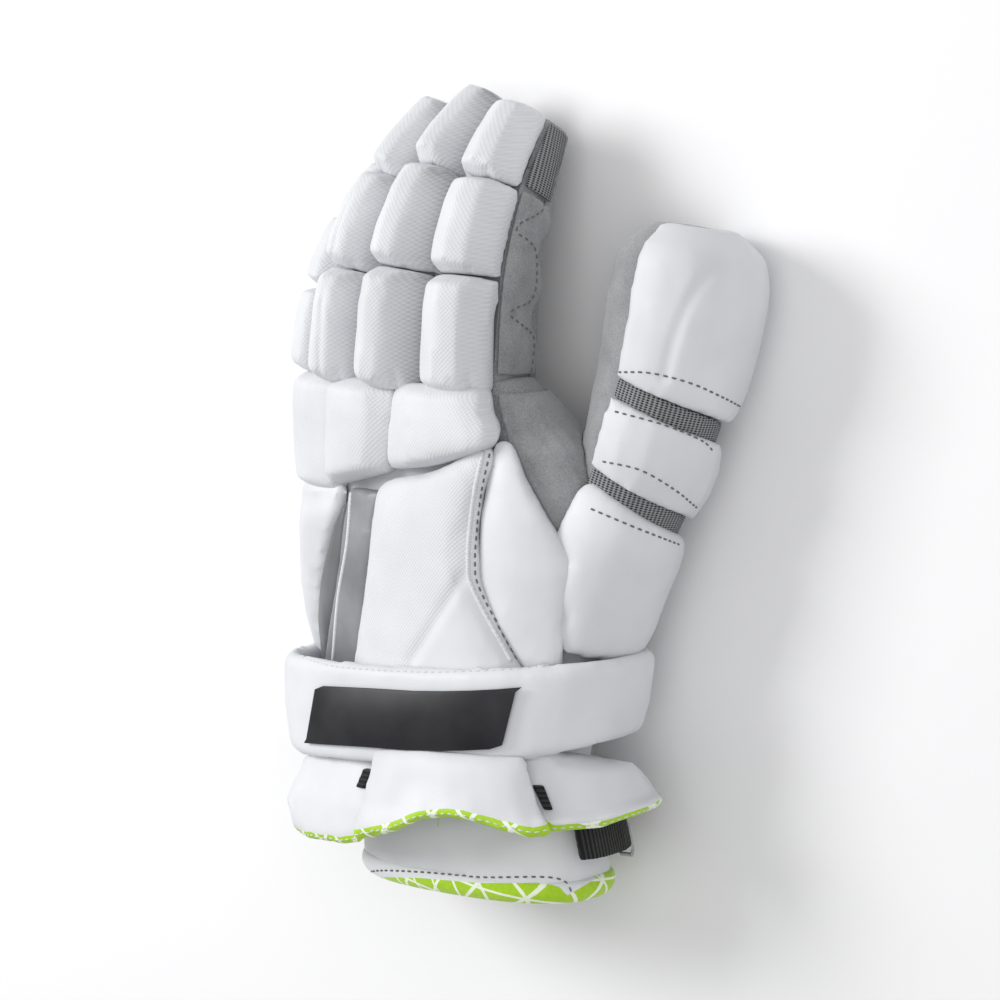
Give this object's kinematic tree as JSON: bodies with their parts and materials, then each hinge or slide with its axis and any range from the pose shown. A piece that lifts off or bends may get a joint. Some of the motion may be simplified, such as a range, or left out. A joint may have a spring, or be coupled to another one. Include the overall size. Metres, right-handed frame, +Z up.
{
  "type": "lacrosse glove",
  "caption": "Padded white lacrosse glove with segmented finger rolls, a grey suede palm, a wide wrist band, a flared cuff and a green lining.",
  "frame": {"origin": "on the resting face, in the middle of the flat patch under the wrist band", "axes": "+X to the thumb side, +Y from the cuff to the fingertips, +Z up out of the back of the hand"},
  "size_m": [0.2147, 0.3213, 0.1022],
  "materials": {
    "suede": "fine grey suede",
    "roll_cover": "white coated cloth, embossed with fine diagonal ribs",
    "smooth_cover": "smooth white synthetic leather",
    "mesh": "dark grey knitted mesh",
    "vent": "moulded grey foam",
    "lining": "green brushed lining printed with fine white lines",
    "elastic": "ribbed black elastic",
    "badge": "satin black moulding",
    "wire": "grey coated wire"
  },
  "bodies": {
    "root": {"palm_shell": "suede", "index_stall": "suede", "middle_stall": "suede", "ring_stall": "suede", "little_stall": "suede", "index_roll_proximal": "roll_cover", "index_roll_middle": "roll_cover", "index_roll_tip": "roll_cover", "middle_roll_proximal": "roll_cover", "middle_roll_middle": "roll_cover", "middle_roll_tip": "roll_cover", "ring_roll_proximal": "roll_cover", "ring_roll_middle": "roll_cover", "ring_roll_tip": "roll_cover", "little_roll_proximal": "roll_cover", "little_roll_middle": "roll_cover", "little_roll_tip": "roll_cover", "index_side_patch": "suede", "index_tip_mesh": "mesh", "knuckle_roll_outer": "roll_cover", "knuckle_roll_middle": "roll_cover", "knuckle_roll_inner": "roll_cover", "back_plate": "roll_cover", "vent_inner": "vent", "vent_outer": "vent", "side_pad_outer": "smooth_cover", "side_pad_thumb": "smooth_cover", "web_patch": "suede", "thumb_stall": "suede", "thumb_base": "smooth_cover", "thumb_mesh_lower": "mesh", "thumb_ring": "smooth_cover", "thumb_mesh_upper": "mesh", "thumb_cap": "smooth_cover", "wrist_band": "smooth_cover", "band_badge": "badge", "cuff_panel_outer": "smooth_cover", "cuff_panel_thumb": "smooth_cover", "cuff_panel_middle": "smooth_cover", "cuff_tab_outer": "elastic", "cuff_tab_thumb": "elastic", "sleeve": "smooth_cover", "lining_roll": "lining", "closure_strap": "elastic", "strap_loop": "wire"}
  },
  "joints": []
}
